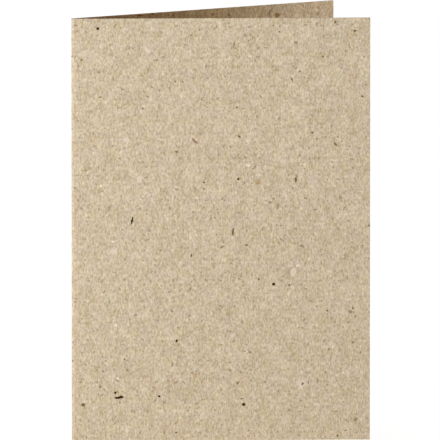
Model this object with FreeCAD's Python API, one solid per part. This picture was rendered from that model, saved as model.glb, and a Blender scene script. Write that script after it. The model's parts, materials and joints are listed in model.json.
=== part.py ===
import FreeCAD, Part
import math
import os

# A blank greeting card: one sheet of stiff kraft board, scored down its middle,
# folded along the score and stood part open on its lower cut edges.
#
# The origin is at the foot of the fold, on the axis that the sheet bends about.
# +Z runs up the fold. The front leaf lies along +X with its outside facing -Y,
# and the back leaf swings away from it towards +Y. All lengths are in millimetres.

# The card when it is closed
LEAF_WIDTH = 105.0  # from the outside of the fold to the free edge
CARD_HEIGHT = 150.0  # along the fold
BOARD_THICKNESS = 0.3

# How far it stands open
OPENING_DEG = 26.6  # between the insides of the two leaves

# The fold, across its section
BEND_RADIUS = 0.18  # from the bend's axis to the inside of each leaf
BEAD_RISE = 0.16  # how far the pressed-up bead stands past the inside of the bend
VALLEY_RADIUS = 0.08  # the hollow between the bead and each leaf
SCORE_DEPTH = 0.05  # how far the score is pressed into the outside of the sheet
SCORE_FLANK = 0.45  # width of the slope from the score up to each leaf's outside

OPENING = math.radians(OPENING_DEG)
OUTSIDE = BEND_RADIUS + BOARD_THICKNESS  # from the bend's axis to a leaf's outside
NOSE_RADIUS = OUTSIDE - SCORE_DEPTH
BEAD_RADIUS = BEND_RADIUS + BEAD_RISE
LEAF_REACH = LEAF_WIDTH - NOSE_RADIUS  # from the bend's axis to the free edge

# The valley's circle touches the inside of the leaf and the side of the bead,
# and it never reaches past the bend's axis
VALLEY = min(VALLEY_RADIUS, BEND_RADIUS)
VALLEY_OUT = BEND_RADIUS - VALLEY
VALLEY_ALONG = math.sqrt((BEAD_RADIUS + VALLEY) ** 2 - VALLEY_OUT**2)
BEAD_SHARE = BEAD_RADIUS / (BEAD_RADIUS + VALLEY)


class Leaf:
    """One half of the sheet in plan, as the two directions that its points are measured in."""

    def __init__(self, turn, side):
        self.along = FreeCAD.Vector(math.cos(turn), math.sin(turn), 0)
        self.out = FreeCAD.Vector(-math.sin(turn), math.cos(turn), 0) * side

    def point(self, along, out):
        """The point this far along the leaf and this far out of the fold, from the bend's axis."""
        return self.along * along + self.out * out


def arc_leaving(start, heading, end):
    """The arc that leaves the start along a heading and reaches the end."""
    chord = end - start
    aside = heading - chord * (heading.dot(chord) / chord.dot(chord))
    aside.normalize()
    rise = chord.Length / 2 * math.tan(heading.getAngle(chord) / 2)
    middle = (start + end) * 0.5 + aside * rise
    return Part.Arc(start, middle, end).toShape()


def score_flank(leaf):
    """The soft slope beside the score: two arcs, level where they meet the nose and the leaf."""
    foot = leaf.point(0, NOSE_RADIUS)
    middle = leaf.point(SCORE_FLANK / 2, OUTSIDE - SCORE_DEPTH / 2)
    top = leaf.point(SCORE_FLANK, OUTSIDE)
    return [arc_leaving(foot, leaf.along, middle), arc_leaving(top, leaf.along * -1, middle)]


def flat_sides(leaf):
    """The leaf's outside, its square-cut free edge, and its inside as far as the valley."""
    corners = [
        leaf.point(SCORE_FLANK, OUTSIDE),
        leaf.point(LEAF_REACH, OUTSIDE),
        leaf.point(LEAF_REACH, BEND_RADIUS),
        leaf.point(VALLEY_ALONG, BEND_RADIUS),
    ]
    return [Part.LineSegment(a, b).toShape() for a, b in zip(corners, corners[1:])]


def bead_foot(leaf):
    """Where the bead ends and the valley beside it begins."""
    return leaf.point(VALLEY_ALONG * BEAD_SHARE, VALLEY_OUT * BEAD_SHARE)


def valley(leaf):
    """The hollow that runs from the inside of the leaf into the side of the bead."""
    return arc_leaving(leaf.point(VALLEY_ALONG, BEND_RADIUS), leaf.along * -1, bead_foot(leaf))


def leaf_outline(leaf):
    """One leaf's edges in order, from the nose of the fold round the free edge to the bead."""
    return score_flank(leaf) + flat_sides(leaf) + [valley(leaf)]


def folded_card():
    """The sheet's section, cut edge to cut edge round the scored fold, drawn up to the card's height."""
    front = Leaf(0, -1)
    back = Leaf(OPENING, 1)
    inward = FreeCAD.Vector(math.cos(OPENING / 2), math.sin(OPENING / 2), 0)

    nose = Part.Arc(back.point(0, NOSE_RADIUS), inward * -NOSE_RADIUS, front.point(0, NOSE_RADIUS))
    bead = Part.Arc(bead_foot(front), inward * BEAD_RADIUS, bead_foot(back))
    outline = [nose.toShape()] + leaf_outline(front) + [bead.toShape()] + leaf_outline(back)[::-1]

    section = Part.Face(Part.Wire(outline))
    return section.extrude(FreeCAD.Vector(0, 0, CARD_HEIGHT))


os.makedirs("parts", exist_ok=True)
folded_card().exportStep(os.path.join("parts", "folded_card.step"))
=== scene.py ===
import json
import math
import bpy
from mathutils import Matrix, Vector


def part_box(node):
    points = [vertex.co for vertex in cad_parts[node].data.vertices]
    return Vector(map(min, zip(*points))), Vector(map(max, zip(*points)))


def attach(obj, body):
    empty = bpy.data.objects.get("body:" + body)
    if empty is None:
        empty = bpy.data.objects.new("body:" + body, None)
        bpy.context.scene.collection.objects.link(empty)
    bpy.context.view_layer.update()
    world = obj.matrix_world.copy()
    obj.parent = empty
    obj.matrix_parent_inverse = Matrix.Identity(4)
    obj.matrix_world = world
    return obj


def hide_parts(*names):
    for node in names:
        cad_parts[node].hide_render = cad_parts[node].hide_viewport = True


bl_info = {
    "name": "Folded Kraft Card",
    "version": (1, 0, 0),
    "blender": (4, 5, 0),
    "location": "3D View > Sidebar > Card",
    "description": "Models a blank folded card in flecked kraft board and sets it on a white studio floor",
    "category": "Object",
}

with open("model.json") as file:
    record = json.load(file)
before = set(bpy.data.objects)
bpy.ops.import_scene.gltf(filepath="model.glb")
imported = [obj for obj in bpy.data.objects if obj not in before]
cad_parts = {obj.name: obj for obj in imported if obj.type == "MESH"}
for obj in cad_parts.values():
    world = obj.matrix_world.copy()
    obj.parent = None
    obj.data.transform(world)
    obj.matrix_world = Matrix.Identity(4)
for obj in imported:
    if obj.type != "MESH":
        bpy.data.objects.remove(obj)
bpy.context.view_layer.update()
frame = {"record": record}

MM = 0.001
CAD_NODE = "folded_card"
BODY = "root"
PIECE_NAME = "folded_sheet"
SHEET_MAP = "Sheet"
BAKE_MAP = "OFBake"

# What the frame says about the folded sheet: the fold's axis is the Z axis,
# and the front leaf lies along +X with its outside facing -Y
LOWEST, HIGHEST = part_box(CAD_NODE)
NOSE_RADIUS = -LOWEST.x
OUTSIDE = -LOWEST.y
LEAF_REACH = HIGHEST.x
CARD_HEIGHT = HIGHEST.z
BACK_FACING = next(m["axis"] for m in frame["record"]["mounts"] if m["name"] == "back_panel")
OPENING = math.atan2(-BACK_FACING[0], BACK_FACING[1])
SCORE_DEPTH = OUTSIDE - NOSE_RADIUS
FOLD_LENGTH = NOSE_RADIUS * (math.pi - OPENING)

# Steps round each curve of the section
CORNER_STEPS = 3
FLANK_STEPS = 3
NOSE_STEPS = 16
VALLEY_STEPS = 7
BEAD_STEPS = 14

# Where the leaf's bow is deepest, below 1 for nearer the fold, and how much of it is lost at the head
BOW_LEAN = 0.8
BOW_LOSS = 0.6
RIPPLE_SIZE = 60 * MM
SMOOTH_BELOW = math.radians(35)

# The inside of the sheet has its own place on the flat map, this many millimetres above the outside
INSIDE_UP = 200.0

# The square map for baking, in shares of its side: two rows for the sheet, and between
# and beside them the strips for the cut edges
MAP_MARGIN = 0.003
ROW_WIDTH = 0.963
ROW_HEIGHT = 0.481
OUTSIDE_ROW = MAP_MARGIN
FOOT_STRIP = 0.487
INSIDE_ROW = 0.501
HEAD_STRIP = 0.985
BACK_STRIP = 0.972
FRONT_STRIP = 0.986
STRIP_WIDTH = 0.006
STRIP_LENGTH = 0.99

# Marks in the board that are big enough to be told apart, in millimetres: across from the fold
# (the back leaf's are below nought), up from the foot, length, width, and the lean of the
# length from level in degrees
OUTSIDE_MARKS = {
    "black": (
        (16.1, 15.4, 3.3, 0.8, 5),
        (17.0, 15.6, 1.4, 1.0, 5),
        (14.9, 17.2, 0.9, 0.8, 0),
        (70.6, 55.6, 1.1, 1.1, 0),
        (60.1, 12.8, 1.2, 1.1, 0),
        (8.8, 146.5, 1.1, 0.9, 0),
        (20.8, 78.3, 2.9, 0.65, 76),
        (36.5, 35.6, 1.1, 0.7, 60),
        (30.3, 15.8, 0.9, 0.7, 0),
        (58.2, 92.9, 0.8, 0.8, 0),
        (-38.5, 112.0, 2.7, 0.7, -35),
        (-71.0, 64.5, 1.2, 1.0, 0),
        (-22.4, 31.0, 1.1, 0.9, 0),
        (-88.2, 127.6, 1.0, 0.8, 0),
        (-60.3, 21.8, 2.1, 0.6, 62),
    ),
    "brown": (
        (36.5, 102.7, 1.0, 0.8, 0),
        (41.6, 65.8, 1.3, 0.6, 80),
        (61.1, 69.5, 0.9, 0.8, 0),
        (99.1, 145.3, 1.1, 0.9, 0),
        (84.2, 109.3, 0.9, 0.8, 0),
        (58.5, 108.0, 1.5, 0.7, -40),
        (92.4, 105.2, 1.5, 0.6, -45),
        (87.9, 136.3, 0.8, 0.7, 0),
        (79.8, 131.1, 0.7, 0.7, 0),
        (3.1, 135.5, 0.8, 0.8, 0),
        (36.3, 2.9, 0.8, 0.7, 0),
        (104.3, 76.2, 1.2, 0.6, 0),
        (92.2, 148.5, 1.1, 0.6, 80),
        (77.0, 128.2, 1.3, 0.6, -60),
        (101.8, 122.1, 1.1, 0.6, -45),
        (58.1, 20.5, 1.4, 0.5, 45),
        (78.4, 92.6, 1.9, 0.8, 88),
        (56.3, 74.3, 2.7, 0.7, 85),
        (3.6, 12.9, 1.3, 1.2, 0),
        (59.4, 14.9, 0.7, 0.6, 0),
        (65.4, 57.4, 1.1, 0.5, 80),
        (89.5, 46.0, 0.7, 0.6, 0),
        (-15.2, 88.3, 1.1, 0.8, 0),
        (-52.6, 92.4, 1.9, 0.7, 75),
        (-81.5, 38.0, 1.0, 0.9, 0),
        (-97.1, 83.6, 1.2, 0.6, -50),
        (-30.8, 57.2, 0.9, 0.8, 0),
        (-66.9, 141.2, 1.0, 0.8, 0),
        (-44.0, 7.9, 1.3, 0.6, 20),
    ),
    "faint": (
        (78.7, 93.9, 1.6, 0.9, -70),
        (72.1, 83.2, 2.4, 1.1, 78),
        (69.3, 84.6, 1.2, 1.0, 0),
        (52.5, 68.9, 1.7, 0.7, 25),
        (99.6, 7.2, 1.7, 0.9, 40),
        (22.1, 44.8, 1.1, 0.9, 0),
        (62.3, 31.4, 1.1, 0.9, 0),
        (80.3, 69.1, 1.5, 0.7, 0),
        (78.5, 75.2, 1.0, 0.9, 0),
        (85.2, 82.0, 1.4, 0.6, 0),
        (34.9, 27.2, 1.7, 0.8, 85),
        (9.6, 19.3, 1.3, 1.0, 0),
        (10.9, 18.3, 1.5, 0.6, -45),
        (16.5, 13.6, 0.9, 0.7, 0),
        (59.4, 42.4, 1.3, 0.7, 85),
        (9.2, 131.0, 1.2, 0.8, 0),
        (29.6, 135.3, 1.1, 0.8, 0),
        (78.4, 141.3, 1.4, 0.9, 0),
        (62.0, 146.8, 1.0, 0.8, 0),
        (65.3, 139.4, 0.9, 0.8, 0),
        (26.8, 74.8, 1.4, 0.6, -40),
        (42.1, 81.2, 0.8, 0.7, 0),
        (36.4, 89.3, 1.5, 0.6, 0),
        (33.8, 53.0, 0.8, 0.7, 0),
        (35.2, 57.2, 1.2, 0.7, 80),
        (41.0, 44.4, 0.9, 0.8, 0),
        (8.1, 91.4, 0.8, 0.8, 0),
        (12.8, 82.8, 1.5, 0.6, 85),
        (97.6, 45.6, 1.6, 1.0, 0),
        (99.4, 44.0, 1.2, 0.8, 75),
        (56.7, 140.6, 2.6, 0.8, 78),
        (85.8, 147.8, 1.2, 0.7, 80),
        (96.0, 138.3, 0.9, 0.8, 0),
        (79.7, 101.2, 1.0, 0.8, 0),
    ),
    "amber": (
        (65.1, 91.9, 2.0, 1.7, 80),
        (43.0, 23.2, 2.0, 1.5, 80),
        (-47.3, 134.1, 2.1, 1.6, 70),
        (-85.4, 12.6, 1.8, 1.4, 30),
    ),
    "rust": (
        (42.8, 106.5, 2.8, 0.65, -50),
        (98.6, 34.7, 1.0, 0.8, 0),
        (-76.2, 101.9, 2.6, 0.6, 40),
        (-11.8, 48.4, 1.8, 0.6, -65),
    ),
    "pale": (
        (9.9, 90.7, 0.9, 0.9, 0),
        (14.0, 70.9, 1.1, 0.8, 0),
        (15.0, 41.3, 1.2, 1.0, 0),
        (15.7, 22.2, 0.9, 0.8, 0),
        (78.9, 62.1, 1.1, 0.8, 0),
        (94.9, 23.9, 1.1, 0.9, 0),
        (61.6, 97.7, 1.1, 0.9, 0),
        (61.5, 106.3, 0.8, 0.8, 0),
        (62.3, 136.5, 1.0, 0.7, 0),
        (43.5, 86.2, 0.9, 0.8, 0),
        (-26.7, 126.5, 1.2, 1.0, 0),
        (-63.8, 47.3, 1.0, 0.9, 0),
        (-92.6, 58.9, 1.4, 0.9, 50),
    ),
    "pink": (
        (18.5, 146.1, 1.7, 1.3, 0),
        (25.9, 138.9, 3.8, 1.1, -55),
        (18.9, 107.0, 2.2, 2.0, 0),
        (24.7, 118.9, 1.4, 1.1, 0),
        (14.2, 67.4, 2.6, 2.0, 20),
        (56.2, 37.4, 2.0, 1.2, 60),
        (77.5, 59.8, 3.0, 1.8, 80),
        (65.2, 94.3, 2.0, 1.2, 0),
        (23.5, 93.0, 2.6, 1.9, 80),
        (80.5, 20.0, 4.0, 3.0, 30),
        (-34.6, 76.0, 3.0, 1.6, 65),
        (-78.0, 117.5, 2.4, 1.9, 0),
    ),
}
INSIDE_MARKS = {
    "black": (
        (-52.0, 131.0, 1.0, 0.8, 0),
        (-74.5, 68.2, 2.9, 0.7, 24),
        (-33.6, 31.4, 1.1, 1.0, 0),
        (-90.8, 22.7, 1.2, 0.8, 0),
        (28.3, 109.5, 1.2, 1.0, 0),
        (67.2, 46.8, 2.4, 0.7, -58),
        (86.5, 127.3, 1.0, 0.9, 0),
    ),
    "brown": (
        (-33.0, 149.6, 1.4, 0.5, 20),
        (-61.4, 104.9, 1.8, 0.7, 82),
        (-19.7, 82.6, 0.9, 0.8, 0),
        (-96.3, 96.0, 1.1, 0.9, 0),
        (-47.9, 12.3, 1.3, 0.7, 40),
        (44.1, 78.0, 1.0, 0.9, 0),
        (93.6, 84.4, 1.5, 0.7, -30),
        (15.9, 24.6, 1.1, 0.8, 0),
        (55.0, 138.7, 0.9, 0.8, 0),
    ),
    "faint": (
        (-83.2, 146.0, 1.9, 1.5, 0),
        (-80.2, 147.6, 1.6, 0.8, -50),
        (-63.5, 147.4, 1.5, 1.1, 30),
        (-57.0, 148.0, 1.4, 0.9, -20),
        (-41.3, 57.0, 2.0, 1.1, 70),
        (74.8, 99.2, 2.2, 1.2, 80),
    ),
    "amber": (
        (-82.9, 146.2, 2.3, 1.9, 0),
        (-41.4, 148.6, 1.6, 1.0, 0),
        (-68.0, 35.5, 2.1, 1.6, 55),
        (37.5, 51.9, 1.9, 1.5, 20),
    ),
    "rust": (
        (-28.0, 149.4, 2.4, 0.5, 5),
        (-87.1, 119.8, 2.4, 0.6, -42),
        (60.7, 14.3, 2.0, 0.6, 66),
    ),
    "pale": (
        (-99.0, 147.0, 1.0, 0.8, 60),
        (-55.2, 82.1, 1.2, 0.9, 0),
        (-24.9, 114.0, 1.0, 0.9, 0),
        (80.3, 63.6, 1.2, 1.0, 0),
        (22.6, 134.8, 1.1, 0.8, 0),
    ),
    "pink": (
        (-91.0, 145.0, 2.4, 1.6, 40),
        (-38.2, 94.4, 2.8, 1.7, 75),
        (49.9, 109.0, 2.4, 1.8, 0),
    ),
}

# How far each kind of placed mark takes on its own colour, and how much light each kind of
# fleck takes away
STAINS = {"pale": 0.75, "pink": 0.6, "amber": 0.62, "rust": 0.8}
FLECKS = {"black": 1.02, "brown": 0.72, "faint": 0.42}

# Specks that are too many to place: their strength, the size of their cells, the share of the
# cells that have one, their greatest length and width, and a shift that sets each kind apart
BLEACHED_FIBRE = (0.4, 1.9, 0.45, 1.0, 0.5, 11.0)
STREWN_FLECKS = (
    (0.34, 1.5, 0.45, 0.8, 0.5, 23.0),
    (0.42, 3.6, 0.3, 1.4, 0.6, 37.0),
    (0.8, 9.0, 0.12, 1.0, 0.7, 53.0),
)

# How soft the edge of a mark or fleck is, as a share of its half size, and a reach past every mark
SOFT = 0.25
FAR = 100.0

# How strongly the pulp's light and shade show in red, green and blue, how much of each a fleck
# takes away, and what is left in the darkest one
WHITE = (1.0, 1.0, 1.0)
PULP_HUE = (0.82, 1.0, 1.28)
FLECK_HUE = (0.94, 1.0, 1.15)
DARKEST = (0.04, 0.03, 0.005)

# A painted highlight along the fold, where its rounded nose would catch the key light: where it ends, where
# it is full, and how much lighter it is
FOLD_HIGHLIGHT_END = 1.4
FOLD_HIGHLIGHT_FULL = 0.3
FOLD_HIGHLIGHT_GAIN = 0.19

# How far loose fibres stray, and the finish of the board and of its cut edges
STRAY = 0.55
GLOSS = 0.15
BOARD_ROUGHNESS = 0.88
BOARD_RELIEF = 0.05 * MM
CUT_ROUGHNESS = 0.97
CUT_RELIEF = 0.03 * MM

# Each side's material: the contrast of its grain, how far red, green and blue swing by
# themselves, the strength of its strewn flecks, its marks, and its height on the flat map
SIDES = {
    "kraft_outside": (0.95, (0.075, 0.05, 0.32), 1.0, OUTSIDE_MARKS, 0.0),
    "kraft_inside": (1.3, (0.13, 0.05, 0.34), 0.7, INSIDE_MARKS, INSIDE_UP),
}

# The lamps, each with its direction in degrees round the card (0 along the front leaf, -90
# straight in front of it) and above level, its distance, its width and height, and its colour
LAMPS = {
    "key": (-136, 1, 1.0, (0.35, 0.12), WHITE),
    "side": (-45, 0, 2.0, (1.2, 0.2), WHITE),
    "edge": (-12, 0, 2.0, (1.1, 0.2), (1.0, 1.0, 0.8)),
    "inner": (13, 0, 2.0, (0.35, 0.2), (1.0, 0.5, 0.2)),
    "rear": (117, 1, 2.0, (1.4, 0.3), WHITE),
    "upper": (110, 62, 2.0, (1.0, 0.8), WHITE),
}
LAMP_AIM = Vector((LEAF_REACH / 2, 0.0, 0.08))
CAMERA_AIM = Vector((0.05175, -OUTSIDE, 0.0784))

# The floor: its reach, the share of light that it returns to the card, and the glow and shade
# that it shows to the eye, which together make white and still show the card's shadow
FLOOR_RADIUS = 8.0
FLOOR_PAINT = 0.85
FLOOR_GLOW = 0.955
FLOOR_SHADE = 0.16


class CardSizes(bpy.types.PropertyGroup):
    """The sizes of the sheet that the frame doesn't give."""

    thickness: bpy.props.FloatProperty(
        name="Board thickness", description="Through the sheet", default=0.3 * MM, unit="LENGTH"
    )
    bead_rise: bpy.props.FloatProperty(
        name="Bead rise",
        description="How far the bead in the fold stands past the inside of the bend",
        default=0.16 * MM,
        unit="LENGTH",
    )
    valley: bpy.props.FloatProperty(
        name="Valley radius",
        description="The hollow between the bead and each leaf",
        default=0.08 * MM,
        unit="LENGTH",
    )
    score_flank: bpy.props.FloatProperty(
        name="Score flank",
        description="Width of the slope from the score up to the outside of a leaf",
        default=0.45 * MM,
        unit="LENGTH",
    )
    corner: bpy.props.FloatProperty(
        name="Cut corner", description="Softness of the cut edges", default=0.03 * MM, unit="LENGTH"
    )
    cell: bpy.props.FloatProperty(
        name="Cell", description="Size of the mesh's cells on a leaf", default=2.5 * MM, unit="LENGTH"
    )
    bow: bpy.props.FloatProperty(
        name="Bow", description="How far the front leaf bows outwards", default=0.5 * MM, unit="LENGTH"
    )
    ripple: bpy.props.FloatProperty(
        name="Ripple", description="How far the board strays from flat", default=0.3 * MM, unit="LENGTH"
    )


class CardColours(bpy.types.PropertyGroup):
    """The board's colours, each as the share of red, green and blue light that it returns."""

    board: bpy.props.FloatVectorProperty(
        name="Board", description="The pulp of the sheet", default=(0.603, 0.495, 0.354), subtype="COLOR"
    )
    pale: bpy.props.FloatVectorProperty(
        name="Pale marks", description="Bleached fibre", default=(0.87, 0.79, 0.64), subtype="COLOR"
    )
    pink: bpy.props.FloatVectorProperty(
        name="Pink marks", description="Smears of whiter pulp", default=(0.78, 0.67, 0.59), subtype="COLOR"
    )
    amber: bpy.props.FloatVectorProperty(
        name="Amber marks", description="Soft spots of bark", default=(0.47, 0.28, 0.11), subtype="COLOR"
    )
    rust: bpy.props.FloatVectorProperty(
        name="Rust marks", description="Dyed fibres", default=(0.27, 0.11, 0.035), subtype="COLOR"
    )


class StudioSettings(bpy.types.PropertyGroup):
    """Where the camera stands and how strong the light is."""

    distance: bpy.props.FloatProperty(
        name="Camera distance", description="From the front leaf", default=6.0, unit="LENGTH"
    )
    azimuth: bpy.props.FloatProperty(
        name="Azimuth", description="Round the card", default=math.radians(-1.8), subtype="ANGLE"
    )
    elevation: bpy.props.FloatProperty(
        name="Elevation", description="Above the horizon", default=math.radians(8.15), subtype="ANGLE"
    )
    lens: bpy.props.FloatProperty(
        name="Lens", description="Focal length in millimetres", default=1396.0, unit="CAMERA"
    )
    key: bpy.props.FloatProperty(
        name="Key light", description="Power of the lamp at the left in front", default=7.6, unit="POWER"
    )
    side: bpy.props.FloatProperty(
        name="Side light", description="Power of the long lamp at the right", default=14.0, unit="POWER"
    )
    edge: bpy.props.FloatProperty(
        name="Edge light",
        description="Power of the lamp that shines into the card",
        default=12.8,
        unit="POWER",
    )
    inner: bpy.props.FloatProperty(
        name="Inner light",
        description="Power of the lamp that shines down the fold",
        default=12.8,
        unit="POWER",
    )
    rear: bpy.props.FloatProperty(
        name="Rear light", description="Power of the lamp behind", default=24.0, unit="POWER"
    )
    upper: bpy.props.FloatProperty(
        name="Upper light", description="Power of the lamp above and behind", default=8.5, unit="POWER"
    )
    sky: bpy.props.FloatProperty(
        name="Ambient light", description="Strength of the light from all round", default=0.04
    )


class Signal:
    """One output in a material's node tree. Maths on it reads as Python and adds Math nodes."""

    def __init__(self, tree, socket=None):
        self.tree = tree
        self.socket = socket

    def node(self, kind, settings=None, inputs=None, output=0):
        """Adds a node, sets it up, fills its sockets with values or links, and returns an output if asked."""
        made = self.tree.nodes.new(kind)
        for name, value in (settings or {}).items():
            setattr(made, name, value)
        for name, value in (inputs or {}).items():
            socket = made.inputs[name]
            if isinstance(value, Signal):
                self.tree.links.new(value.socket, socket)
            else:
                socket.default_value = value
        return None if output is None else Signal(self.tree, made.outputs[output])

    def output(self, name):
        """Another output of the node that this signal comes from."""
        return Signal(self.tree, self.socket.node.outputs[name])

    def maths(self, operation, first, second=0.0):
        """Maths on two numbers, of which either may be a signal."""
        return self.node("ShaderNodeMath", {"operation": operation}, {0: first, 1: second})

    def __add__(self, other):
        return self.maths("ADD", self, other)

    __radd__ = __add__

    def __sub__(self, other):
        return self.maths("SUBTRACT", self, other)

    def __rsub__(self, other):
        return self.maths("SUBTRACT", other, self)

    def __mul__(self, other):
        return self.maths("MULTIPLY", self, other)

    __rmul__ = __mul__

    def __lt__(self, other):
        return self.maths("LESS_THAN", self, other)


def vector(signal, operation, first, second=(0.0, 0.0, 0.0)):
    """Maths on a place or a colour."""
    return signal.node("ShaderNodeVectorMath", {"operation": operation}, {0: first, 1: second})


def length_of(signal, place):
    """How far a place is from nought."""
    return signal.node("ShaderNodeVectorMath", {"operation": "LENGTH"}, {0: place}, "Value")


def scaled(signal, colour, factor):
    """A colour made lighter or darker by a factor."""
    return signal.node("ShaderNodeVectorMath", {"operation": "SCALE"}, {0: colour, "Scale": factor})


def mixed(signal, mask, under, over):
    """The colour over where the mask is 1, and the colour under where it is 0.

    The node has sockets for each kind of value in turn, and 6, 7 and 2 are those for colours.
    """
    return signal.node("ShaderNodeMix", {"data_type": "RGBA"}, {0: mask, 6: under, 7: over}, 2)


def faded(signal, value, start, end):
    """A smooth step that is 0 at the start and 1 at the end."""
    settings = {"interpolation_type": "SMOOTHSTEP"}
    return signal.node(
        "ShaderNodeMapRange", settings, {"Value": value, "From Min": start, "From Max": end}
    )


def centred(signal, place, scale):
    """Soft coloured noise that swings about nought, alike in every direction."""
    inputs = {"Vector": place, "Scale": scale, "Detail": 2.0}
    noise = signal.node("ShaderNodeTexNoise", None, inputs, "Color")
    return vector(signal, "SUBTRACT", noise, (0.5, 0.5, 0.5))


def grain(signal, place, across, up, detail=1.0, roughness=0.5, turn=0.0):
    """Even noise from 0 to 1, whose lumps are this many millimetres across and up."""
    shaped = signal.node(
        "ShaderNodeMapping",
        None,
        {"Vector": place, "Rotation": (0.0, 0.0, turn), "Scale": (1 / across, 1 / up, 1.0)},
    )
    inputs = {"Vector": shaped, "Scale": 1.0, "Detail": detail, "Roughness": roughness}
    return signal.node("ShaderNodeTexNoise", None, inputs)


def strewn(signal, place, cell, share, length, width, shift):
    """Short flecks of many sizes, one to a cell in a share of the cells, each turned its own way."""
    moved = vector(signal, "ADD", place, (shift, shift, 0.0))
    cells = signal.node(
        "ShaderNodeTexVoronoi", {"voronoi_dimensions": "2D"}, {"Vector": moved, "Scale": 1 / cell}
    )
    local = vector(signal, "SUBTRACT", moved, cells.output("Position"))
    chance = signal.node("ShaderNodeSeparateColor", None, {0: cells.output("Color")})
    turned = signal.node(
        "ShaderNodeVectorRotate",
        {"rotation_type": "Z_AXIS"},
        {"Vector": local, "Angle": chance * math.tau},
    )
    shaped = vector(signal, "MULTIPLY", turned, (2 / length, 2 / width, 0.0))
    size = chance.output("Blue") * 0.7 + 0.3
    inside = faded(signal, length_of(signal, shaped) - size, SOFT, -SOFT)
    return inside * (chance.output("Green") < share)


def placed(signal, place, marks, raised):
    """Marks at chosen places on the raised outside or inside of the flat sheet, as one soft mask."""
    nearest = FAR
    for across, up, length, width, lean in marks:
        centre = Vector((across, up + raised, 0.0))
        size = Vector((2 / length, 2 / width, 0.0))
        turned = place
        if lean:
            about = {"Vector": place, "Center": centre, "Angle": -math.radians(lean)}
            turned = signal.node("ShaderNodeVectorRotate", {"rotation_type": "Z_AXIS"}, about)
        fitted = {0: turned, 1: size, 2: -centre * size}
        local = signal.node("ShaderNodeVectorMath", {"operation": "MULTIPLY_ADD"}, fitted)
        nearest = signal.maths("MINIMUM", nearest, length_of(signal, local))
    return faded(signal, nearest, 1 + SOFT, 1 - SOFT)


def new_tree(owner):
    """The emptied node tree of a material or of the world, ready for its first node."""
    owner.use_nodes = True
    owner.node_tree.nodes.clear()
    return Signal(owner.node_tree)


def finish_board(signal, colour, roughness, height, depth):
    """The board's shader, from its colour, roughness and height. Depth is the relief in metres."""
    bump = signal.node("ShaderNodeBump", None, {"Height": height, "Distance": depth})
    inputs = {"Base Color": colour, "Roughness": roughness, "Normal": bump, "Specular IOR Level": GLOSS}
    shader = signal.node("ShaderNodeBsdfPrincipled", None, inputs)
    signal.node("ShaderNodeOutputMaterial", None, {"Surface": shader}, output=None)


def board_material(name, colours, contrast, hue_swing, fleck_share, marks, raised):
    """Recycled kraft board: felted fibre, cloudy pulp, and flecks that are darker or paler than it."""
    material = bpy.data.materials.new(name)
    signal = new_tree(material)
    flat = signal.node("ShaderNodeUVMap", {"uv_map": SHEET_MAP})
    stray = centred(signal, flat, 1.6)
    ragged = vector(signal, "ADD", flat, scaled(signal, stray, STRAY))

    # Lumps of every size, in millimetres across and up, from the felted fibre to wide soft clouds
    felt = grain(signal, flat, 0.62, 1.12, detail=2.0, roughness=0.55) - 0.5
    strands = grain(signal, ragged, 0.35, 2.2) - 0.5
    crossing = grain(signal, ragged, 0.35, 1.8, turn=0.9) - 0.5
    clumps = grain(signal, flat, 1.5, 2.9) - 0.5
    cloud = grain(signal, flat, 3.6, 7.0) - 0.5
    shadow = grain(signal, flat, 14.0, 20.0, detail=2.0) - 0.5
    light = felt * 1.1 + strands * 0.55 + crossing * 0.35 + clumps * 0.45 + cloud * 0.4 + shadow * 0.12

    # Darker pulp is browner, because blue falls away faster than red
    hues = vector(signal, "MULTIPLY", centred(signal, flat, 1 / 3.4), hue_swing)
    shade = vector(signal, "ADD", scaled(signal, PULP_HUE, light * contrast), hues)
    colour = vector(signal, "MULTIPLY", tuple(colours.board), vector(signal, "ADD", shade, WHITE))

    strength, *specks = BLEACHED_FIBRE
    bleached = strewn(signal, ragged, *specks) * strength
    colour = mixed(signal, bleached, colour, (*colours.pale, 1.0))
    for kind, share in STAINS.items():
        stain = (*getattr(colours, kind), 1.0)
        colour = mixed(signal, placed(signal, ragged, marks[kind], raised) * share, colour, stain)

    dark = 0.0
    for strength, *specks in STREWN_FLECKS:
        dark = signal.maths("MAXIMUM", strewn(signal, ragged, *specks) * (strength * fleck_share), dark)
    for kind, share in FLECKS.items():
        dark = signal.maths("MAXIMUM", placed(signal, ragged, marks[kind], raised) * share, dark)
    left = vector(signal, "SUBTRACT", WHITE, scaled(signal, FLECK_HUE, dark))
    colour = vector(signal, "MULTIPLY", colour, vector(signal, "MAXIMUM", left, DARKEST))

    # Painted highlight: the board is made a little paler along the fold, where its rounded nose would catch
    # the key light
    across = signal.node("ShaderNodeSeparateXYZ", None, {0: ragged})
    from_fold = signal.maths("ABSOLUTE", across + FOLD_LENGTH / MM / 2)
    fold_highlight = faded(signal, from_fold, FOLD_HIGHLIGHT_END, FOLD_HIGHLIGHT_FULL)
    colour = scaled(signal, colour, fold_highlight * FOLD_HIGHLIGHT_GAIN + 1.0)

    relief = felt * 0.5 + strands * 0.3 + crossing * 0.2
    finish_board(signal, colour, BOARD_ROUGHNESS - felt * 0.15, relief, BOARD_RELIEF)
    return material


def cut_edge_material(colours):
    """The sheet cut through: the same pulp in thin layers, a little paler and rougher."""
    material = bpy.data.materials.new("cut_board")
    signal = new_tree(material)
    place = signal.node("ShaderNodeTexCoord", output="Object")
    layers = signal.node(
        "ShaderNodeTexNoise", None, {"Vector": place, "Scale": 9.0 / MM, "Detail": 3.0, "Roughness": 0.7}
    )
    lumps = signal.node("ShaderNodeTexNoise", None, {"Vector": place, "Scale": 0.9 / MM, "Detail": 2.0})
    light = 1.02 + (layers - 0.5) * 0.35 + (lumps - 0.5) * 0.3
    colour = scaled(signal, tuple(colours.board), light)
    finish_board(signal, colour, CUT_ROUGHNESS - lumps * 0.05, layers, CUT_RELIEF)
    return material


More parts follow.
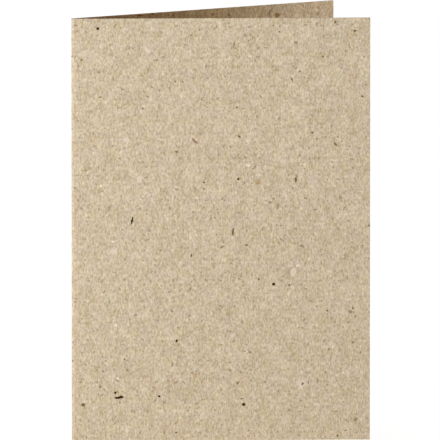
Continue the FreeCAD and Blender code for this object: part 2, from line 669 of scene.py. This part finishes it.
def deselect_all():
    """Nothing selected, so that an operator acts only on what is chosen next."""
    bpy.ops.object.select_all(action="DESELECT")


def choose_edges(piece, test):
    """Selects the edges whose two ends pass a test together, and nothing else, in edit mode."""
    bpy.ops.object.mode_set(mode="EDIT")
    bpy.ops.mesh.select_mode(type="EDGE")
    bpy.ops.mesh.select_all(action="DESELECT")
    bpy.ops.object.mode_set(mode="OBJECT")
    points = [vertex.co.copy() for vertex in piece.data.vertices]
    for edge in piece.data.edges:
        edge.select = test(*(points[index] for index in edge.vertices))
    bpy.ops.object.mode_set(mode="EDIT")


class Leaf:
    """One half of the sheet in plan: along it from the fold, and out of the fold."""

    def __init__(self, turn, side):
        self.along = Vector((math.cos(turn), math.sin(turn), 0.0))
        self.out = Vector((-math.sin(turn), math.cos(turn), 0.0)) * side

    def point(self, along, out):
        """The point this far along the leaf and this far out of the fold, from the bend's axis."""
        return self.along * along + self.out * out


FRONT = Leaf(0.0, -1)
BACK = Leaf(OPENING, 1)
MIDDLE = Vector((math.cos(OPENING / 2), math.sin(OPENING / 2), 0.0))
BEND_AXIS = Vector((0.0, 0.0, 0.0))


def extend(step, count):
    """Draws the chosen upright edge on in a straight line, in equal cells."""
    for _ in range(count):
        bpy.ops.mesh.extrude_region_move(TRANSFORM_OT_translate={"value": step / count})


def turn_right(centre, angle, steps):
    """Draws the chosen upright edge on round a centre, clockwise from above; a negative angle turns left."""
    bpy.ops.mesh.spin(steps=steps, angle=angle, center=centre, axis=(0.0, 0.0, 1.0))


def draw_flank(leaf, sizes, leaving):
    """The soft slope beside the score: two arcs, from the leaf to the nose, or back out when leaving."""
    width, depth = sizes.score_flank, SCORE_DEPTH
    bend = 2 * math.atan(depth / width)
    radius = width / 2 / math.sin(bend)
    by_leaf = leaf.point(width, OUTSIDE - radius)
    by_nose = leaf.point(0.0, NOSE_RADIUS + radius)
    if leaving:
        turn_right(by_nose, -bend, FLANK_STEPS)
        turn_right(by_leaf, bend, FLANK_STEPS)
    else:
        turn_right(by_leaf, bend, FLANK_STEPS)
        turn_right(by_nose, -bend, FLANK_STEPS)


def draw_cut(leaf, sizes, outwards):
    """The square-cut free edge with its softened corners, outwards or inwards through the board."""
    corner = sizes.corner
    inside = OUTSIDE - sizes.thickness
    levels = (inside + corner, OUTSIDE - corner) if outwards else (OUTSIDE - corner, inside + corner)
    turn_right(leaf.point(LEAF_REACH - corner, levels[0]), math.pi / 2, CORNER_STEPS)
    extend(leaf.out * (levels[1] - levels[0]), 1)
    turn_right(leaf.point(LEAF_REACH - corner, levels[1]), math.pi / 2, CORNER_STEPS)


def draw_inside_of_fold(sizes):
    """The hollow, the bead and the hollow again, from the back leaf's inside to the front leaf's."""
    along, out = valley_place(sizes)
    lean = math.atan2(out, along)
    turn_right(BACK.point(along, out), -(math.pi / 2 + lean), VALLEY_STEPS)
    turn_right(BEND_AXIS, OPENING + 2 * lean, BEAD_STEPS)
    turn_right(FRONT.point(along, out), -(math.pi / 2 + lean), VALLEY_STEPS)


def valley_place(sizes):
    """How far along the leaf and out of the fold the valley's centre lies."""
    bend = OUTSIDE - sizes.thickness
    out = bend - sizes.valley
    apart = bend + sizes.bead_rise + sizes.valley
    return math.sqrt(apart**2 - out**2), out


def draw_sheet(sizes):
    """The folded sheet as one closed skin, drawn round its section from the outside of the front leaf."""
    flat_start = sizes.score_flank
    flat_end = LEAF_REACH - sizes.corner
    flat_length = flat_end - flat_start
    cells = round(flat_length / sizes.cell)
    rows = round(CARD_HEIGHT / sizes.cell)
    deselect_all()
    bpy.ops.mesh.primitive_grid_add(
        x_subdivisions=cells,
        y_subdivisions=rows,
        size=1.0,
        calc_uvs=False,
        location=FRONT.point((flat_start + flat_end) / 2, OUTSIDE) + Vector((0.0, 0.0, CARD_HEIGHT / 2)),
        rotation=(math.pi / 2, 0.0, 0.0),
    )
    piece = bpy.context.object
    piece.name = PIECE_NAME
    piece.data.name = PIECE_NAME
    piece.scale = (flat_length, CARD_HEIGHT - 2 * sizes.corner, 1.0)
    bpy.ops.object.transform_apply(location=True, rotation=True, scale=True)

    choose_edges(piece, lambda a, b: max(a.x, b.x) < flat_start + sizes.corner)
    draw_flank(FRONT, sizes, leaving=False)
    turn_right(BEND_AXIS, math.pi - OPENING, NOSE_STEPS)
    draw_flank(BACK, sizes, leaving=True)
    extend(BACK.along * flat_length, cells)
    draw_cut(BACK, sizes, outwards=False)
    valley_along = valley_place(sizes)[0]
    extend(BACK.along * (valley_along - flat_end), cells)
    draw_inside_of_fold(sizes)
    extend(FRONT.along * (flat_end - valley_along), cells)
    draw_cut(FRONT, sizes, outwards=True)
    bpy.ops.mesh.select_all(action="SELECT")
    bpy.ops.mesh.remove_doubles(threshold=sizes.corner / 50)
    bpy.ops.mesh.normals_make_consistent(inside=False)
    return piece


def close_end(piece, sizes, end):
    """Rounds the cut edge at the foot or the head into the board, and closes it cell by cell."""
    corner = sizes.corner
    rim = abs(end - corner)
    choose_edges(piece, lambda a, b: both_at(a, b, rim, corner))
    bpy.ops.mesh.edge_face_add()
    bpy.ops.mesh.normals_make_consistent(inside=False)
    bpy.ops.mesh.inset(thickness=corner, depth=corner)
    bpy.ops.mesh.delete(type="ONLY_FACE")
    bpy.ops.mesh.select_all(action="SELECT")
    bpy.ops.mesh.remove_doubles(threshold=corner / 5)
    choose_edges(piece, lambda a, b: both_at(a, b, end, corner) and not crosses_cut(a, b, sizes))
    bpy.ops.mesh.bridge_edge_loops()


def both_at(first, second, height, corner):
    """Whether both ends of an edge lie at a height, to a quarter of a softened corner."""
    return max(abs(first.z - height), abs(second.z - height)) < corner / 4


def crosses_cut(first, second, sizes):
    """Whether an edge between two points runs through the board at a free edge."""
    through = (second - first).length > sizes.thickness / 2
    leaves = (FRONT, BACK)
    return through and any(abs((second - first).normalized().dot(leaf.out)) > 0.9 for leaf in leaves)


def at_nose(place):
    """Whether a point lies in the round nose of the fold."""
    return place.dot(MIDDLE) < NOSE_RADIUS / 2 and place.to_2d().length < 2 * OUTSIDE


def on_sheet(place):
    """Where a point of the folded sheet lies across the flat one, in millimetres from the fold."""
    if at_nose(place):
        round_nose = (-math.pi / 2 - math.atan2(place.y, place.x)) % math.tau
        return -NOSE_RADIUS * min(round_nose, math.pi - OPENING) / MM
    if nearest_leaf(place) is FRONT:
        return place.dot(FRONT.along) / MM
    return -(FOLD_LENGTH + place.dot(BACK.along)) / MM


def map_sheet(piece, sizes):
    """Lays the sheet flat on its own map, in millimetres, with the inside above the outside."""
    layer = piece.data.uv_layers.new(name=SHEET_MAP)
    for face in piece.data.polygons:
        up = INSIDE_UP if is_inside(face, sizes) else 0.0
        for loop in face.loop_indices:
            place = piece.data.vertices[piece.data.loops[loop].vertex_index].co
            layer.data[loop].uv = (on_sheet(place), place.z / MM + up)


def map_for_baking(piece, sizes):
    """Lays the sheet out again to fill a square: outside, inside, and each cut edge as a strip of its own."""
    sheet = piece.data.uv_layers[SHEET_MAP].data
    layer = piece.data.uv_layers.new(name=BAKE_MAP)
    whole = (2 * LEAF_REACH + FOLD_LENGTH) / MM
    for face in piece.data.polygons:
        for loop in face.loop_indices:
            place = piece.data.vertices[piece.data.loops[loop].vertex_index].co
            across = MAP_MARGIN + ROW_WIDTH * (sheet[loop].uv.x + (LEAF_REACH + FOLD_LENGTH) / MM) / whole
            up = place.z / CARD_HEIGHT
            strip = STRIP_WIDTH * depth_in_board(place, face) / sizes.thickness
            if not is_cut(face):
                spot = (across, (INSIDE_ROW if is_inside(face, sizes) else OUTSIDE_ROW) + ROW_HEIGHT * up)
            elif abs(face.normal.z) > 0.5:
                spot = (across, (FOOT_STRIP if face.center.z < CARD_HEIGHT / 2 else HEAD_STRIP) + strip)
            else:
                beside = FRONT_STRIP if nearest_leaf(face.center) is FRONT else BACK_STRIP
                spot = (beside + strip, MAP_MARGIN + STRIP_LENGTH * up)
            layer.data[loop].uv = spot


def nearest_leaf(place):
    """The leaf on whose side of the opening's middle a point lies."""
    return FRONT if place.y < math.tan(OPENING / 2) * place.x else BACK


def depth_in_board(place, face):
    """How far a point lies below the outside of the sheet."""
    if at_nose(place):
        return NOSE_RADIUS - place.to_2d().length
    return OUTSIDE - place.dot(nearest_leaf(face.center).out)


def is_inside(face, sizes):
    """Whether a face belongs to the inside of the folded sheet."""
    leaf = nearest_leaf(face.center)
    return face.center.dot(leaf.out) < OUTSIDE - sizes.thickness / 2 and face.center.dot(MIDDLE) > 0


def is_cut(face):
    """Whether a face belongs to a cut edge: the foot, the head or a free edge."""
    if abs(face.normal.z) > 0.5:
        return True
    along = nearest_leaf(face.center).along
    return face.normal.dot(along) > 0.6 and face.center.dot(along) > LEAF_REACH / 2


def bend_softly(piece, name, weight, direction, texture, strength):
    """Moves the sheet along a direction by a weight that varies over it, and applies the change."""
    group = piece.vertex_groups.new(name=name)
    for vertex in piece.data.vertices:
        group.add([vertex.index], weight(vertex.co), "REPLACE")
    change = piece.modifiers.new(name, "DISPLACE")
    change.vertex_group = name
    change.direction = direction
    change.texture = texture
    change.texture_coords = "LOCAL"
    change.mid_level = 0.5 if texture else 0.0
    change.strength = strength
    deselect_all()
    bpy.context.view_layer.objects.active = piece
    piece.select_set(True)
    bpy.ops.object.modifier_apply(modifier=name)
    piece.vertex_groups.remove(piece.vertex_groups[name])


def bow_weight(place):
    """A point's share of the bow: none at the fold and the free edge, and most low on the front leaf."""
    if nearest_leaf(place) is BACK or place.x < 0:
        return 0.0
    along = min(place.x / LEAF_REACH, 1.0) ** BOW_LEAN
    return math.sin(math.pi * along) * (1.0 - BOW_LOSS * place.z / CARD_HEIGHT)


def ripple_weight(place):
    """How freely a point strays from flat: not at the fold, and fully past a third of a leaf."""
    share = min(place.to_2d().length / (LEAF_REACH / 3), 1.0)
    return share * share * (3 - 2 * share)


class CARD_OT_sheet(bpy.types.Operator):
    """Model the folded sheet, with its scored fold, cut edges and slight bow"""

    bl_idname = "card.sheet"
    bl_label = "Folded sheet"

    def execute(self, context):
        sizes = context.scene.card_sizes
        colours = context.scene.card_colours
        piece = draw_sheet(sizes)
        for end in (0.0, CARD_HEIGHT):
            close_end(piece, sizes, end)
        bpy.ops.object.mode_set(mode="OBJECT")
        map_sheet(piece, sizes)
        map_for_baking(piece, sizes)
        for name, side in SIDES.items():
            piece.data.materials.append(board_material(name, colours, *side))
        piece.data.materials.append(cut_edge_material(colours))
        for face in piece.data.polygons:
            face.material_index = len(SIDES) if is_cut(face) else int(is_inside(face, sizes))
        clouds = bpy.data.textures.new("board_ripple", "CLOUDS")
        clouds.noise_scale = RIPPLE_SIZE
        clouds.noise_depth = 1
        bend_softly(piece, "bow", bow_weight, "Y", None, -sizes.bow)
        bend_softly(piece, "ripple", ripple_weight, "Y", clouds, sizes.ripple)
        bpy.ops.object.shade_smooth_by_angle(angle=SMOOTH_BELOW)
        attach(piece, BODY)
        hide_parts(CAD_NODE)
        return {"FINISHED"}


def seen_by_eye(signal):
    """1 for a ray from the camera or one that gloss or glass sends on, and 0 for other light."""
    rays = signal.node("ShaderNodeLightPath")
    seen = signal.maths("MAXIMUM", rays, rays.output("Is Glossy Ray"))
    return signal.maths("MAXIMUM", seen, rays.output("Is Transmission Ray"))


def background_material(name):
    """White to the eye, to gloss and through glass, and plain white paint to other light."""
    material = bpy.data.materials.new(name)
    signal = new_tree(material)
    paint = signal.node("ShaderNodeBsdfDiffuse", None, {"Color": (*[FLOOR_PAINT] * 3, 1.0)})
    shade = signal.node("ShaderNodeBsdfDiffuse", None, {"Color": (*[FLOOR_SHADE] * 3, 1.0)})
    glow = signal.node("ShaderNodeEmission", None, {"Color": (*WHITE, 1.0), "Strength": FLOOR_GLOW})
    lit = signal.node("ShaderNodeAddShader", None, {0: shade, 1: glow})
    floor = signal.node("ShaderNodeMixShader", None, {0: seen_by_eye(signal), 1: paint, 2: lit})
    signal.node("ShaderNodeOutputMaterial", None, {"Surface": floor}, output=None)
    return material


def white_world(name, sky):
    """White to the eye, and a faint even light on the card."""
    world = bpy.data.worlds.new(name)
    signal = new_tree(world)
    strength = seen_by_eye(signal) * (1.0 - sky) + sky
    glow = signal.node("ShaderNodeBackground", None, {"Color": (*WHITE, 1.0), "Strength": strength})
    signal.node("ShaderNodeOutputWorld", None, {"Surface": glow}, output=None)
    return world


def direction(azimuth, elevation):
    """The direction at an angle round the card from +X, and at an angle above level."""
    level = math.cos(elevation)
    return Vector((math.cos(azimuth) * level, math.sin(azimuth) * level, math.sin(elevation)))


def add_lamp(name, power, azimuth, elevation, distance, size, colour):
    """A flat soft lamp that faces the card from a direction, given in degrees round it and above level."""
    toward = direction(math.radians(azimuth), math.radians(elevation))
    deselect_all()
    bpy.ops.object.light_add(type="AREA", location=LAMP_AIM + toward * distance)
    lamp = bpy.context.object
    lamp.name = name
    lamp.data.shape = "RECTANGLE"
    lamp.data.size, lamp.data.size_y = size
    lamp.data.energy = power
    lamp.data.color = colour
    lamp.rotation_euler = (-toward).to_track_quat("-Z", "Y").to_euler()
    lamp.visible_camera = False


class CARD_OT_studio(bpy.types.Operator):
    """Set a white floor, soft lamps and a long-lens camera round the card"""

    bl_idname = "card.studio"
    bl_label = "White studio"

    def execute(self, context):
        studio = context.scene.card_studio
        deselect_all()
        bpy.ops.mesh.primitive_circle_add(vertices=96, radius=FLOOR_RADIUS, fill_type="NGON")
        floor = context.object
        floor.name = "studio_floor"
        floor.data.materials.append(background_material("white_floor"))

        context.scene.world = white_world("studio_air", studio.sky)
        for name, place in LAMPS.items():
            add_lamp(f"{name}_lamp", getattr(studio, name), *place)

        # The camera's azimuth is 0 straight in front of the front leaf
        back = direction(studio.azimuth - math.pi / 2, studio.elevation)
        bpy.ops.object.camera_add(location=CAMERA_AIM + back * studio.distance)
        camera = context.object
        camera.name = "studio_camera"
        camera.rotation_euler = (-back).to_track_quat("-Z", "Y").to_euler()
        camera.data.lens = studio.lens
        camera.data.clip_end = 3 * studio.distance
        context.scene.camera = camera
        context.scene.view_settings.view_transform = "Standard"
        return {"FINISHED"}


class CARD_PT_tools(bpy.types.Panel):
    """The card's tools, in the order that they are used"""

    bl_idname = "CARD_PT_tools"
    bl_label = "Folded kraft card"
    bl_space_type = "VIEW_3D"
    bl_region_type = "UI"
    bl_category = "Card"

    def draw(self, context):
        scene = context.scene
        for group in (scene.card_sizes, scene.card_colours, scene.card_studio):
            box = self.layout.box()
            for name in group.__annotations__:
                box.prop(group, name)
        for operator in (CARD_OT_sheet, CARD_OT_studio):
            self.layout.operator(operator.bl_idname)


GROUPS = {"card_sizes": CardSizes, "card_colours": CardColours, "card_studio": StudioSettings}
CLASSES = (*GROUPS.values(), CARD_OT_sheet, CARD_OT_studio, CARD_PT_tools)


def register():
    for kind in CLASSES:
        bpy.utils.register_class(kind)
    for name, group in GROUPS.items():
        setattr(bpy.types.Scene, name, bpy.props.PointerProperty(type=group))


def unregister():
    for name in GROUPS:
        delattr(bpy.types.Scene, name)
    for kind in reversed(CLASSES):
        bpy.utils.unregister_class(kind)


def main():
    register()
    bpy.ops.card.sheet()
    bpy.ops.card.studio()


if __name__ == "__main__":
    main()
